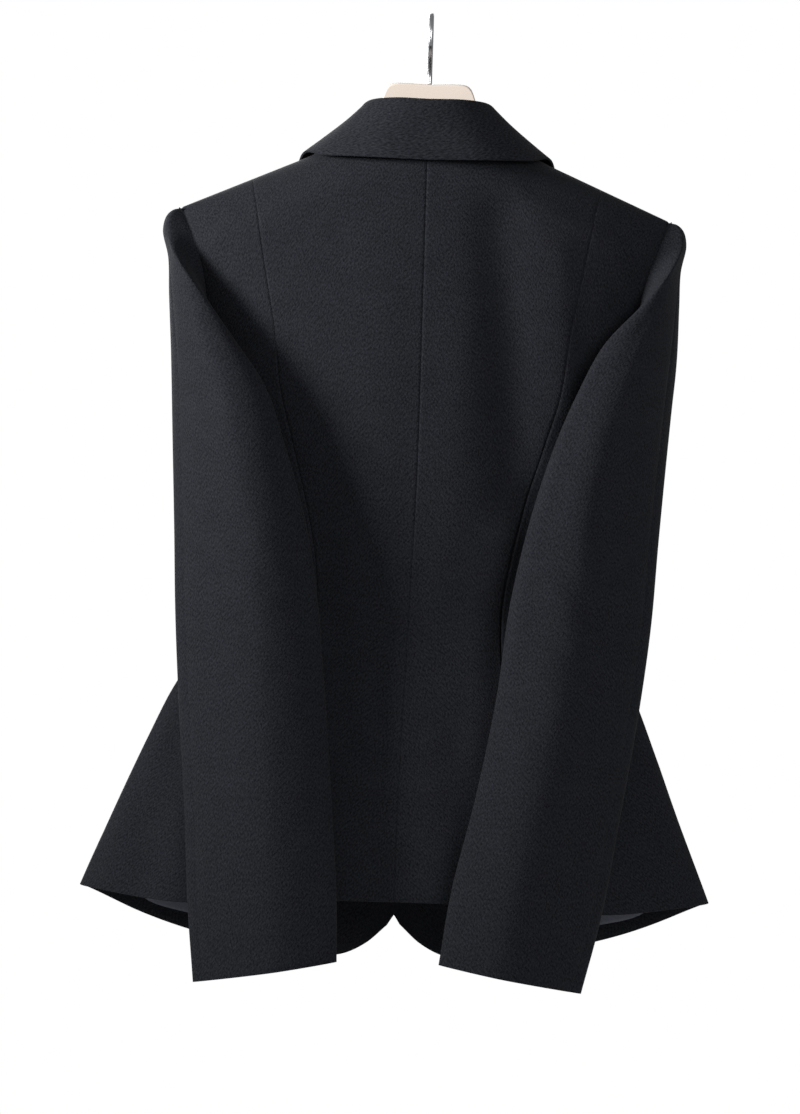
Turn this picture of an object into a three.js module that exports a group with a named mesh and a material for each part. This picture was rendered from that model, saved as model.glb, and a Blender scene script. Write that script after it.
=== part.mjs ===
// A fitted blazer with a flared hem, hung on a contoured hanger.
// Millimetres, +Z up. The origin is at the hook's inner top, where a rail carries it.
// The garment's front faces -Y and its wearer's left is +X.
// A drop is a distance below the collar's top fold at the centre back.
import * as THREE from 'three';

// Driving sizes
const hookToCollar = 68;
const cloth = 2;
const seamGap = 0.3;
const neckHalf = 60;
const tipHalf = 188;
const shoulderSlope = 0.432;
const shoulderAtZero = 2.6;
const shoulderRound = 42;
const underarmDrop = 215;
const waistDrop = 392;
const overlapHalf = 15;
const hemSway = 8;
const swayStart = 240;
const swayEnd = 600;
const princessTop = 134;

// Half width, and depth behind and before the shoulder line, at each level of the body
const bodyLevels = [
  { drop: 0, half: 190, back: 44, front: 46 },
  { drop: 45, half: 190, back: 48, front: 58 },
  { drop: 85, half: 190, back: 52, front: 64 },
  { drop: 125, half: 184, back: 55, front: 69 },
  { drop: 175, half: 176, back: 56, front: 74 },
  { drop: 215, half: 172, back: 55, front: 75 },
  { drop: 265, half: 167, back: 51, front: 72 },
  { drop: 330, half: 159, back: 43, front: 61 },
  { drop: 392, half: 156, back: 36, front: 51 },
  { drop: 430, half: 167, back: 39, front: 52 },
  { drop: 465, half: 184, back: 44, front: 55 },
  { drop: 535, half: 213, back: 53, front: 61 },
  { drop: 610, half: 244, back: 60, front: 66 },
  { drop: 670, half: 266, back: 64, front: 69 },
];

// Seams and edges, as distances out from the centre line
const neckEdge = [
  { out: 0, drop: 30 },
  { out: 28, drop: 30.6 },
  { out: 47, drop: 30.2 },
];
const princessSeam = [
  { out: 127, drop: 99 },
  { out: 120, drop: 138 },
  { out: 113, drop: 175 },
  { out: 107, drop: 223 },
  { out: 97, drop: 261 },
  { out: 86, drop: 302 },
  { out: 76, drop: 345 },
  { out: 71, drop: 392 },
  { out: 77, drop: 455 },
  { out: 91, drop: 535 },
  { out: 105, drop: 613 },
];
const backArmhole = [
  { out: 178, drop: 108 },
  { out: 169, drop: 140 },
  { out: 166, drop: 170 },
  { out: 167, drop: 196 },
];
const frontArmhole = [
  { out: 175, drop: 105 },
  { out: 163, drop: 138 },
  { out: 160, drop: 168 },
  { out: 164, drop: 195 },
];
const backHem = [
  { out: 0, drop: 611 },
  { out: 60, drop: 611.5 },
  { out: 105, drop: 613 },
  { out: 160, drop: 617 },
  { out: 205, drop: 613 },
];
const hemSide = 608;
const frontHem = [
  { out: 22, drop: 652 },
  { out: 42, drop: 661 },
  { out: 80, drop: 661 },
  { out: 155, drop: 645 },
  { out: 198, drop: 630 },
];
const frontEdge = [
  { out: -15, drop: 440 },
  { out: -15, drop: 530 },
  { out: -14, drop: 590 },
  { out: -8, drop: 615 },
  { out: 5, drop: 637 },
];
const rollTop = { out: 60, drop: 28.6 };
const rollPoints = [
  { out: 57, drop: 58 },
  { out: 48, drop: 105 },
  { out: 24, drop: 225 },
  { out: -4, drop: 345 },
];

const lerp = THREE.MathUtils.lerp;
const smooth = THREE.MathUtils.smoothstep;

// Cubic through the rows of a table, read at one level
function levelAt(rows, key, drop) {
  const last = rows.length - 1;
  const d = THREE.MathUtils.clamp(drop, rows[0].drop, rows[last].drop);
  let i = 0;
  while (i < last - 1 && rows[i + 1].drop < d) i += 1;
  const [a, b] = [rows[i], rows[i + 1]];
  const before = rows[Math.max(i - 1, 0)];
  const after = rows[Math.min(i + 2, last)];
  const span = b.drop - a.drop;
  const t = (d - a.drop) / span;
  const slopeA = (b[key] - before[key]) / (b.drop - before.drop) * span;
  const slopeB = (after[key] - a[key]) / (after.drop - a.drop) * span;
  const t2 = t * t;
  const t3 = t2 * t;
  return a[key] * (2 * t3 - 3 * t2 + 1) + slopeA * (t3 - 2 * t2 + t)
    + b[key] * (3 * t2 - 2 * t3) + slopeB * (t3 - t2);
}

const shoulderDrop = (out) => shoulderAtZero + shoulderSlope * Math.abs(out);
const swayAt = (drop) => hemSway * smooth(drop, swayStart, swayEnd);
const halfAt = (drop) => levelAt(bodyLevels, 'half', drop);

// How far the body stands from the shoulder plane, squared, on the back (+1) or front (-1)
function depthSquared(face, out, drop) {
  const depth = levelAt(bodyLevels, face > 0 ? 'back' : 'front', drop);
  const across = 1 - (out / halfAt(drop)) ** 2;
  const below = Math.min((drop - shoulderDrop(out)) / shoulderRound, 1);
  return depth ** 2 * Math.max(across, 0) * Math.max(1 - (1 - below) ** 2, 0);
}

const depthAt = (face, out, drop) => Math.sqrt(depthSquared(face, out, drop));

// A point of the body, and its outward direction
function bodyPoint(face, out, drop) {
  return new THREE.Vector3(out + swayAt(drop), face * depthAt(face, out, drop), -hookToCollar - drop);
}

function bodyNormal(face, out, drop) {
  const step = 0.5;
  const inset = Math.min(Math.abs(out), halfAt(drop) - step) * Math.sign(out);
  const y = depthAt(face, out, drop);
  const byOut = (depthSquared(face, inset + step, drop) - depthSquared(face, inset - step, drop)) / (2 * step);
  const low = Math.max(drop, shoulderDrop(out) + step);
  const byDrop = (depthSquared(face, inset, low + step) - depthSquared(face, inset, low - step)) / (2 * step);
  return new THREE.Vector3(-byOut, 2 * y * face, byDrop).normalize();
}

// A smooth line through points given by out and drop, read by share of its length
function edgeLine(points) {
  const curve = new THREE.CatmullRomCurve3(
    points.map((p) => new THREE.Vector3(p.out, p.drop, 0)), false, 'centripetal');
  return (share) => {
    const p = curve.getPointAt(THREE.MathUtils.clamp(share, 0, 1));
    return { out: p.x, drop: p.y };
  };
}

// One closed wall from a grid of points and their outward directions
function wallGeometry(points, normals, thickness) {
  const rows = points.length;
  const columns = points[0].length;
  const positions = [];
  for (const depth of [0, thickness]) {
    for (let r = 0; r < rows; r += 1) {
      for (let c = 0; c < columns; c += 1) {
        positions.push(...points[r][c].clone().addScaledVector(normals[r][c], -depth).toArray());
      }
    }
  }
  const outer = (r, c) => r * columns + c;
  const inner = (r, c) => rows * columns + r * columns + c;
  const index = [];
  const quad = (a, b, c, d) => index.push(a, b, c, a, c, d);
  for (let r = 0; r < rows - 1; r += 1) {
    for (let c = 0; c < columns - 1; c += 1) {
      quad(outer(r, c), outer(r + 1, c), outer(r + 1, c + 1), outer(r, c + 1));
      quad(inner(r, c), inner(r, c + 1), inner(r + 1, c + 1), inner(r + 1, c));
    }
    quad(outer(r, 0), inner(r, 0), inner(r + 1, 0), outer(r + 1, 0));
    quad(outer(r, columns - 1), outer(r + 1, columns - 1), inner(r + 1, columns - 1), inner(r, columns - 1));
  }
  for (let c = 0; c < columns - 1; c += 1) {
    quad(outer(0, c), outer(0, c + 1), inner(0, c + 1), inner(0, c));
    quad(outer(rows - 1, c), inner(rows - 1, c), inner(rows - 1, c + 1), outer(rows - 1, c + 1));
  }
  return closedGeometry(positions, index);
}

// Turns the faces outwards, whichever way the grid ran
function closedGeometry(positions, index) {
  let volume = 0;
  const at = (i) => new THREE.Vector3(...positions.slice(3 * i, 3 * i + 3));
  for (let i = 0; i < index.length; i += 3) {
    volume += at(index[i]).dot(at(index[i + 1]).cross(at(index[i + 2])));
  }
  const geometry = new THREE.BufferGeometry();
  geometry.setAttribute('position', new THREE.Float32BufferAttribute(positions, 3));
  geometry.setIndex(volume > 0 ? index : index.slice().reverse());
  return geometry;
}

const blazer = new THREE.Group();
const suiting = { color: 0x1d1e22, roughness: 0.85, metalness: 0 };
const finishes = {
  suiting,
  lining: { color: 0x23252e, roughness: 0.45, metalness: 0 },
  button: { color: 0x141416, roughness: 0.35, metalness: 0 },
  wood: { color: 0xf0e4d6, roughness: 0.5, metalness: 0 },
  steel: { color: 0xb9bcc0, roughness: 0.25, metalness: 1 },
};

function addPiece(name, geometry, finish) {
  const mesh = new THREE.Mesh(geometry, new THREE.MeshStandardMaterial(finishes[finish]));
  mesh.name = name;
  blazer.add(mesh);
}

// A panel of the body between four edges. Rows run down, and packed rows follow a rounded shoulder.
function panelGrid({ face, side, top, bottom, inner, outer, rows, columns, packing = 1, lift = () => 0 }) {
  const angle = (p) => Math.asin(THREE.MathUtils.clamp(p.out / halfAt(p.drop), -1, 1));
  const flat = (p) => new THREE.Vector2(angle(p), p.drop);
  const [nearTop, farTop, nearLow, farLow] = [top(0), top(1), bottom(0), bottom(1)].map(flat);
  const points = [];
  const normals = [];
  for (let r = 0; r <= rows; r += 1) {
    const down = (r / rows) ** packing;
    const [left, right] = [flat(inner(down)), flat(outer(down))];
    const pointRow = [];
    const normalRow = [];
    for (let c = 0; c <= columns; c += 1) {
      const over = c / columns;
      const p = flat(top(over)).multiplyScalar(1 - down)
        .addScaledVector(flat(bottom(over)), down)
        .addScaledVector(left, 1 - over)
        .addScaledVector(right, over)
        .addScaledVector(nearTop, -(1 - over) * (1 - down))
        .addScaledVector(farTop, -over * (1 - down))
        .addScaledVector(nearLow, -(1 - over) * down)
        .addScaledVector(farLow, -over * down);
      const out = side * halfAt(p.y) * Math.sin(THREE.MathUtils.clamp(p.x, -Math.PI / 2, Math.PI / 2));
      const normal = bodyNormal(face, out, p.y);
      pointRow.push(bodyPoint(face, out, p.y).addScaledVector(normal, lift(side * out, p.y)));
      normalRow.push(normal);
    }
    points.push(pointRow);
    normals.push(normalRow);
  }
  return { points, normals };
}

// Draws a grid's four edges in by half a seam gap, along the cloth
function trimmed({ points, normals }, ends = { top: 1, bottom: 0, inner: 1, outer: 1 }) {
  const rows = points.length;
  const columns = points[0].length;
  const pull = (p, towards, share) => {
    const way = towards.clone().sub(p);
    return p.clone().addScaledVector(way.normalize(), share * seamGap / 2);
  };
  const kept = points.map((row) => row.map((p) => p.clone()));
  for (let r = 0; r < rows; r += 1) {
    kept[r][0] = pull(kept[r][0], points[r][1], ends.inner);
    kept[r][columns - 1] = pull(kept[r][columns - 1], points[r][columns - 2], ends.outer);
  }
  for (let c = 0; c < columns; c += 1) {
    kept[0][c] = pull(kept[0][c], points[1][c], ends.top);
    kept[rows - 1][c] = pull(kept[rows - 1][c], points[rows - 2][c], ends.bottom);
  }
  return { points: kept, normals };
}

// Body panels
const shoulderPoint = (out) => ({ out, drop: shoulderDrop(out) });
const tip = shoulderPoint(tipHalf);
const neckSide = shoulderPoint(neckHalf);
const underarm = { out: halfAt(underarmDrop), drop: underarmDrop };
const sideSeam = [underarm, 265, 330, waistDrop, 430, 465, 535, hemSide]
  .map((d) => (typeof d === 'number' ? { out: halfAt(d), drop: d } : d));
const armholeLine = { 1: edgeLine([tip, ...backArmhole, underarm]), [-1]: edgeLine([tip, ...frontArmhole, underarm]) };

const centreBack = edgeLine([neckEdge[0], { out: 0, drop: 200 }, { out: 0, drop: 400 }, backHem[0]]);
const princess = edgeLine([shoulderPoint(princessTop), ...princessSeam]);
// Below the underarm the side seam is the form's widest line
const onSide = (edge) => (share) => {
  const { out, drop } = edge(share);
  return { out: drop > underarmDrop ? halfAt(drop) : out, drop };
};
const backOuter = onSide(edgeLine([tip, ...backArmhole, ...sideSeam]));
const frontOuter = onSide(edgeLine([tip, ...frontArmhole, ...sideSeam]));
const sideHem = sideSeam[sideSeam.length - 1];
const closing = { out: -overlapHalf, drop: waistDrop };
const frontInner = edgeLine([rollTop, ...rollPoints, closing, ...frontEdge]);

// Where the fronts overlap, the wearer's right one lies outside the left one and its lapel
const lapelSlack = 0.8;
const lapelLift = cloth + seamGap + lapelSlack;
const overlapLift = 2 * lapelLift;
function frontLift(side) {
  if (side > 0) return () => 0;
  return (out, drop) => overlapLift * (1 - smooth(out, 30, 95)) * smooth(drop, 90, 190);
}

for (const [side, hand] of [[1, 'left'], [-1, 'right']]) {
  const back = panelGrid({
    face: 1, side, rows: 18, columns: 7, packing: 1.4,
    top: edgeLine([...neckEdge, neckSide, shoulderPoint(97), shoulderPoint(princessTop)]),
    bottom: edgeLine(backHem.slice(0, 3)),
    inner: centreBack, outer: princess,
  });
  addPiece(`back_${hand}`, wallGeometry(...Object.values(trimmed(back)), cloth), 'suiting');

  const sideBack = panelGrid({
    face: 1, side, rows: 18, columns: 7, packing: 1.4,
    top: edgeLine([shoulderPoint(princessTop), tip]),
    bottom: edgeLine([...backHem.slice(2), sideHem]),
    inner: princess, outer: backOuter,
  });
  addPiece(`side_back_${hand}`, wallGeometry(...Object.values(trimmed(sideBack)), cloth), 'suiting');

  const front = panelGrid({
    face: -1, side, rows: 26, columns: 11, packing: 1.3,
    top: edgeLine([rollTop, shoulderPoint(97), shoulderPoint(princessTop), tip]),
    bottom: edgeLine([frontEdge[4], ...frontHem, sideHem]),
    inner: frontInner, outer: frontOuter,
    lift: frontLift(side),
  });
  addPiece(`front_${hand}`, wallGeometry(...Object.values(trimmed(front)), cloth), 'suiting');
}

// Sleeve sizes
// Each sleeve hangs behind the back. A row gives its inner fold and outer edge as distances out,
// how much lower the outer edge lies, and the depths behind the shoulder line of fold, crown and edge.
const sleeveClear = 4;
const sleeveColumns = 16;
const sleeveRowsPerLevel = 2;
const sleeveLevels = [
  { drop: 89, slant: -1, fold: [190, 190], edge: [193, 193], foldY: 7, crownY: 7, edgeY: 0, frontY: -7, arm: 0.03 },
  { drop: 104, slant: -2, fold: [196, 197], edge: [202, 202], foldY: 20, crownY: 17, edgeY: 0, frontY: -22, arm: 0.2 },
  { drop: 123, slant: 0, fold: [190, 189], edge: [197, 198], foldY: 38, crownY: 30, edgeY: 6, frontY: -30, arm: 0.38 },
  { drop: 147, slant: 3, fold: [173, 172], edge: [195, 197], foldY: 51, crownY: 47, edgeY: 12, frontY: -32, arm: 0.56 },
  { drop: 183, slant: 10, fold: [146, 139], edge: [192, 196], foldY: 61, crownY: 66, edgeY: 17, frontY: -26, arm: 0.78 },
  { drop: 222, slant: 13, fold: [118, 119], edge: [190, 193], foldY: 65, crownY: 77, edgeY: 21, frontY: -12, arm: 1 },
  { drop: 262, slant: 13, fold: [103, 103], edge: [188, 190], foldY: 67, crownY: 82, edgeY: 26, frontY: 2, arm: 1 },
  { drop: 320, slant: 13, fold: [85, 86], edge: [185, 186], foldY: 66, crownY: 84, edgeY: 31, frontY: 14, arm: 1 },
  { drop: 384, slant: 13, fold: [73, 73], edge: [182, 182], foldY: 64, crownY: 84, edgeY: 36, frontY: 22, arm: 1 },
  { drop: 453, slant: 13, fold: [65, 65], edge: [177, 174], foldY: 67, crownY: 86, edgeY: 42, frontY: 30, arm: 1 },
  { drop: 530, slant: 14, fold: [58, 51], edge: [170, 162], foldY: 75, crownY: 92, edgeY: 52, frontY: 42, arm: 1 },
  { drop: 600, slant: 17, fold: [52, 35], edge: [165, 150], foldY: 81, crownY: 97, edgeY: 60, frontY: 52, arm: 1 },
  { drop: 656, slant: 20, fold: [50, 27], edge: [159, 136], foldY: 83, crownY: 98, edgeY: 64, frontY: 56, arm: 1 },
];
const sleeveSplit = 0.62;

// The seven points that one sleeve section passes through, from the back armhole round to the front one
function sleeveSection(level, hand, blend) {
  const fold = level.fold[hand];
  const edge = level.edge[hand];
  const width = edge - fold;
  const armhole = (face) => {
    const p = armholeLine[face](level.arm);
    return bodyPoint(face, p.out, p.drop).addScaledVector(bodyNormal(face, p.out, p.drop), 0.2).setX(p.out + 0.9);
  };
  const at = (out, y, drop) => new THREE.Vector3(out, y, -hookToCollar - drop);
  const along = (share) => level.drop + level.slant * share;
  const under = (out) => depthAt(1, Math.min(out, halfAt(level.drop)), level.drop);
  const seamOut = lerp(underarm.out + 5, fold + width * 0.5, blend);
  const seam = at(seamOut, Math.max(under(seamOut) + 8 * blend + 2, level.frontY * blend), along(0.5));
  const sewn = level.arm < 1;
  const start = sewn ? armhole(1) : seam;
  const stop = sewn ? armhole(-1) : seam;
  const valleyOut = fold + width * 0.22;
  const valley = sewn
    ? start.clone().lerp(at(fold, level.foldY, level.drop), 0.5).add(new THREE.Vector3(0, -5 * level.arm, 3))
    : at(valleyOut, under(valleyOut) + 7, along(0.22));
  return [
    start,
    valley,
    at(fold, level.foldY, level.drop),
    at(fold + width * 0.42, level.crownY, along(0.42)),
    at(edge, level.edgeY, along(1)),
    at(edge - width * 0.1 - 3, level.frontY, along(0.9)),
    stop,
  ];
}

// Moves a point straight out of the body until it is clear of it
function keepOutside(p, drop, side) {
  const shift = side * swayAt(drop);
  p.x -= shift;
  const across = halfAt(drop) + sleeveClear;
  const deep = levelAt(bodyLevels, p.y > 0 ? 'back' : 'front', drop) + sleeveClear;
  const inside = Math.hypot(p.x / across, p.y / deep);
  const push = inside > 1 || drop > hemSide + 20 ? 1 : 1 / inside;
  p.x = p.x * push + shift;
  p.y *= push;
}

// A sleeve's whole surface: rows run down it and columns round it
function sleeveGrid(side, hand) {
  const count = sleeveLevels.length - 1;
  const lastSewn = sleeveLevels.findIndex((level) => level.arm === 1);
  const sections = sleeveLevels.map((level, i) =>
    sleeveSection(level, hand, smooth(i, lastSewn, lastSewn + 5)));
  const tracks = sections[0].map((_, k) =>
    new THREE.CatmullRomCurve3(sections.map((section) => section[k]), false, 'centripetal'));
  const points = [];
  for (let r = 0; r <= count * sleeveRowsPerLevel; r += 1) {
    const share = r / (count * sleeveRowsPerLevel);
    const sewn = r < lastSewn * sleeveRowsPerLevel;
    const stations = tracks.map((track) => track.getPoint(share));
    const section = new THREE.CatmullRomCurve3(sewn ? stations : stations.slice(0, -1), !sewn, 'centripetal');
    const row = [];
    for (let c = 0; c <= sleeveColumns; c += 1) {
      const p = section.getPoint(c / sleeveColumns);
      const drop = -hookToCollar - p.z;
      if (sewn) {
        const clear = sleeveClear * smooth(Math.min(c, sleeveColumns - c), 0, 4);
        if (p.y > 0 && p.x < halfAt(drop)) p.y = Math.max(p.y, depthAt(1, p.x, drop) + clear);
      } else {
        keepOutside(p, drop, side);
      }
      row.push(new THREE.Vector3(side * p.x, p.y, p.z));
    }
    points.push(row);
  }
  return points;
}

// Directions square to a grid, taken from its neighbours, the same on both sides of a seam
function gridNormals(points, sign, joinedFrom = Infinity) {
  const rows = points.length;
  const columns = points[0].length;
  return points.map((row, r) => row.map((_, c) => {
    const joined = r >= joinedFrom && (c === 0 || c === columns - 1);
    const left = joined ? row[columns - 2] : row[Math.max(c - 1, 0)];
    const right = joined ? row[1] : row[Math.min(c + 1, columns - 1)];
    const down = points[Math.min(r + 1, rows - 1)][c].clone().sub(points[Math.max(r - 1, 0)][c]);
    return right.clone().sub(left).cross(down).normalize().multiplyScalar(sign);
  }));
}

for (const [side, hand, name] of [[1, 0, 'left'], [-1, 1, 'right']]) {
  const points = sleeveGrid(side, hand);
  const joinedFrom = sleeveLevels.findIndex((level) => level.arm === 1) * sleeveRowsPerLevel;
  const normals = gridNormals(points, side, joinedFrom);
  const split = Math.round(sleeveColumns * sleeveSplit);
  for (const [piece, from, to] of [['upper', 0, split], ['under', split, sleeveColumns]]) {
    const cut = {
      points: points.map((row) => row.slice(from, to + 1)),
      normals: normals.map((row) => row.slice(from, to + 1)),
    };
    addPiece(`sleeve_${piece}_${name}`, wallGeometry(...Object.values(trimmed(cut)), cloth), 'suiting');
  }
}

// Collar, folded over itself. Each station gives its seam, its top fold and its outer edge, by out, y and drop.
const collarCloth = 1.8;
const foldHalf = 3.2;
const collarStations = [
  { seam: [0, 43.3, 29.5], fold: [0, 46, 0], edge: [0, 54, 45.5], notch: 0 },
  { seam: [24, 40.3, 29.9], fold: [25, 42, -0.5], edge: [46, 50.5, 44.5], notch: 0 },
  { seam: [47, 25.6, 29.3], fold: [44, 24, 0.5], edge: [79, 33, 43], notch: 0 },
  { seam: [59.5, 1, 27.6], fold: [50, 1, 5], edge: [94, 1, 39.5], notch: 0 },
  { seam: [57.5, -24, 31.5], fold: [53, -30, 16], edge: [101, -37, 54], notch: 0 },
  { seam: [56, -46, 44], fold: [54, -56, 38], edge: [105, -60, 73], notch: 2 },
  { seam: [54, -57, 58], fold: [51, -66, 60], edge: [98, -64, 82], notch: 11 },
];
const collarColumns = 12;
const collarRowsPerStation = 2;

function collarStation({ seam, fold, edge, notch }, side) {
  const at = ([out, y, drop]) => new THREE.Vector3(side * out, y, -hookToCollar - drop);
  const [low, high, far] = [seam, fold, edge].map(at);
  const away = far.clone().sub(low).setZ(0).normalize().multiplyScalar(foldHalf);
  const inside = high.clone().sub(away).setZ(high.z - foldHalf);
  const outside = high.clone().add(away).setZ(high.z - foldHalf);
  far.z += notch;
  return [low, low.clone().lerp(inside, 0.55), inside, high, outside, outside.clone().lerp(far, 0.5), far];
}

const collarLines = [
  ...collarStations.slice(1).reverse().map((station) => collarStation(station, -1)),
  ...collarStations.map((station) => collarStation(station, 1)),
];
const collarTracks = collarLines[0].map((_, k) =>
  new THREE.CatmullRomCurve3(collarLines.map((line) => line[k]), false, 'centripetal'));
const collarRows = (collarLines.length - 1) * collarRowsPerStation;
const collarGrid = [...Array(collarRows + 1).keys()].map((r) => {
  const line = new THREE.CatmullRomCurve3(
    collarTracks.map((track) => track.getPoint(r / collarRows)), false, 'centripetal');
  return [...Array(collarColumns + 1).keys()].map((c) => line.getPoint(c / collarColumns));
});
addPiece('collar', wallGeometry(collarGrid, gridNormals(collarGrid, -1), collarCloth), 'suiting');

// Lapels, turned back onto the fronts from the roll line
const gorge = [{ out: 51, drop: 66 }, { out: 80, drop: 80 }, { out: 114, drop: 99 }];
const lapelEdge = [
  { out: 113, drop: 135 },
  { out: 98, drop: 205 },
  { out: 66, drop: 290 },
  { out: 24, drop: 358 },
];
const lapelFoot = { out: -8, drop: waistDrop - 2 };
for (const [side, hand] of [[1, 'left'], [-1, 'right']]) {
  const under = frontLift(side);
  const lapel = panelGrid({
    face: -1, side, rows: 20, columns: 5,
    top: edgeLine(gorge),
    bottom: edgeLine([closing, lapelFoot]),
    inner: edgeLine([gorge[0], ...rollPoints.slice(1), closing]),
    outer: edgeLine([gorge[2], ...lapelEdge, lapelFoot]),
    lift: (out, drop) => under(out, drop) + lapelLift,
  });
  addPiece(`lapel_${hand}`, wallGeometry(...Object.values(trimmed(lapel)), cloth), 'suiting');
}

// The strip of lining that shows inside each front, above its hem facing
const liningCloth = 0.8;
const facing = 13;
const liningTop = 560;
const liningNear = 100;
const liningSlack = 1.2;
const sideMargin = 34;
for (const [side, hand] of [[1, 'left'], [-1, 'right']]) {
  const outerLow = { out: halfAt(hemSide - facing) - sideMargin, drop: hemSide - facing };
  const outerHigh = { out: halfAt(liningTop) - sideMargin, drop: liningTop };
  const hemRun = frontHem.slice(3).map(({ out, drop }) => ({ out, drop: drop - facing }));
  const nearLow = { out: liningNear, drop: 657 - facing };
  const strip = panelGrid({
    face: -1, side, rows: 4, columns: 10,
    top: edgeLine([{ out: liningNear, drop: liningTop }, outerHigh]),
    bottom: edgeLine([nearLow, ...hemRun, outerLow]),
    inner: edgeLine([{ out: liningNear, drop: liningTop }, nearLow]),
    outer: edgeLine([outerHigh, outerLow]),
    lift: () => -(cloth + seamGap + liningSlack),
  });
  addPiece(`lining_${hand}`, wallGeometry(...Object.values(trimmed(strip)), liningCloth), 'lining');
}

// Button, at the foot of the roll line
const buttonRadius = 10;
const buttonThick = 4;
const buttonSlack = 1.3;
const buttonDrop = waistDrop + 11;
const buttonProfile = [[0, 0], [8, 0], [10, 1.2], [10, 2.8], [8.8, 4], [7.2, 3.2], [0, 3]]
  .map(([r, h]) => new THREE.Vector2(r * buttonRadius / 10, h * buttonThick / 4));
const button = new THREE.LatheGeometry(buttonProfile, 24)
  .rotateX(Math.PI)
  .translate(swayAt(buttonDrop), -depthAt(-1, 0, buttonDrop) - overlapLift - buttonSlack, -hookToCollar - buttonDrop);
addPiece('button', button, 'button');

// Hanger body: an arched bar under the shoulders with a flat-topped hump at the neck
const humpHalf = 32;
const humpDrop = -16;
const hangerThick = 16;
const hangerBevel = 3;
const hangerUnderCloth = 4.3;
const hangerTipDrop = 3.2;
const hangerReach = 168;
const hangerTopAt = (out) =>
  shoulderDrop(out) + hangerUnderCloth + hangerTipDrop * (out / hangerReach) ** 3;
const hangerHalf = [
  [humpHalf - 4, humpDrop], [humpHalf, humpDrop + 2.5], [humpHalf + 4, -4], [41, 12], [49, 25],
  [60, hangerTopAt(60) + 1], [80, hangerTopAt(80)], [120, hangerTopAt(120)], [hangerReach, hangerTopAt(hangerReach)],
  [hangerReach + 5, 88], [hangerReach + 4, 95], [hangerReach - 3, 97], [120, 76], [70, 56], [30, 44],
];
const hangerOutline = [...hangerHalf, ...hangerHalf.slice().reverse().map(([out, drop]) => [-out, drop])]
  .map(([out, drop]) => new THREE.Vector2(out, -drop));
const hangerBody = new THREE.ExtrudeGeometry(new THREE.Shape(hangerOutline), {
  depth: hangerThick - 2 * hangerBevel, bevelThickness: hangerBevel, bevelSize: hangerBevel,
  bevelOffset: -hangerBevel, bevelSegments: 2,
}).rotateX(Math.PI / 2).translate(0, hangerThick / 2 - hangerBevel, -hookToCollar);
addPiece('hanger_body', hangerBody, 'wood');

// Hook: one wire in the plane of the hanger's thickness
const wireRadius = 2;
const railRadius = 15;
const wireCentre = railRadius + wireRadius;
const hookFoot = -hookToCollar - humpDrop + seamGap;
const hookMouth = 205;
const hookArc = [...Array(12).keys()].map((i) => {
  const turn = THREE.MathUtils.degToRad(lerp(-25, hookMouth, i / 11));
  return new THREE.Vector3(0, wireCentre * Math.cos(turn), wireCentre * Math.sin(turn) - railRadius);
});
const hookPath = new THREE.CatmullRomCurve3([
  new THREE.Vector3(0, 0, hookFoot),
  new THREE.Vector3(0, 0, hookFoot + 8),
  new THREE.Vector3(0, 6, hookFoot + 20),
  ...hookArc,
], false, 'centripetal');
const wire = [...Array(8).keys()].map((i) => new THREE.Vector2(wireRadius, 0)
  .rotateAround(new THREE.Vector2(), i / 8 * 2 * Math.PI));
const hook = new THREE.ExtrudeGeometry(new THREE.Shape(wire), { steps: 26, extrudePath: hookPath });
addPiece('hanger_hook', hook, 'steel');

export default blazer;
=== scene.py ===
# A fitted blazer with a flared hem, hung on a pale hanger and seen from the back.
# Lengths in the tables are millimetres. A drop is a distance below the collar's top fold.
import math
import bpy
import bmesh
from mathutils import Matrix, Vector


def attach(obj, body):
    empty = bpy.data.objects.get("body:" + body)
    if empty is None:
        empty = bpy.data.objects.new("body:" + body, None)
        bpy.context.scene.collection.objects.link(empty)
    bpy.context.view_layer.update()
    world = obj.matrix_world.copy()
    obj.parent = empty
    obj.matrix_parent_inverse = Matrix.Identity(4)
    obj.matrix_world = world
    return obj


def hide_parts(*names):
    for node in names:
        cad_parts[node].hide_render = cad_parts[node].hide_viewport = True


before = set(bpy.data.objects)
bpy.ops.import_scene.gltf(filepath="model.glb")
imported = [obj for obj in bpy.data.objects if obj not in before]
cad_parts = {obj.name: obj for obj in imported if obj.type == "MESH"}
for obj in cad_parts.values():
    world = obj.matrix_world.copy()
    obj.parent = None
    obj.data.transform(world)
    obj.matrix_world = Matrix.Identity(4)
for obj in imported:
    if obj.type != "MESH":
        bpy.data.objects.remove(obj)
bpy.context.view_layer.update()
print("frame loaded")

mm = 0.001
hookToCollar = 68.0


# Camera and light first, so that every render has them

camera = {
    "distance": 4.2,          # metres from the shoulder plane
    "back": 0.035,            # how far behind that plane the cloth of the back lies
    "centreX": 0.0115,        # what the picture's middle looks at
    "centreZ": -0.4165,
    "viewHeight": 0.8522,     # metres of the cloth in the picture's height
    "tilt": 1.75,             # degrees; the right of the picture hangs lower
}


def makeCamera():
    data = bpy.data.cameras.new("camera")
    data.sensor_fit = "VERTICAL"
    data.lens = data.sensor_height * (camera["distance"] - camera["back"]) / camera["viewHeight"]
    data.clip_end = 50.0
    eye = bpy.data.objects.new("camera", data)
    bpy.context.scene.collection.objects.link(eye)
    tilt = math.radians(camera["tilt"])
    right = Vector((-math.cos(tilt), 0.0, math.sin(tilt)))
    up = Vector((math.sin(tilt), 0.0, math.cos(tilt)))
    turn = Matrix((right, up, right.cross(up))).transposed().to_4x4()
    place = Vector((camera["centreX"], camera["distance"], camera["centreZ"]))
    eye.matrix_world = Matrix.Translation(place) @ turn
    bpy.context.scene.camera = eye


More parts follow.
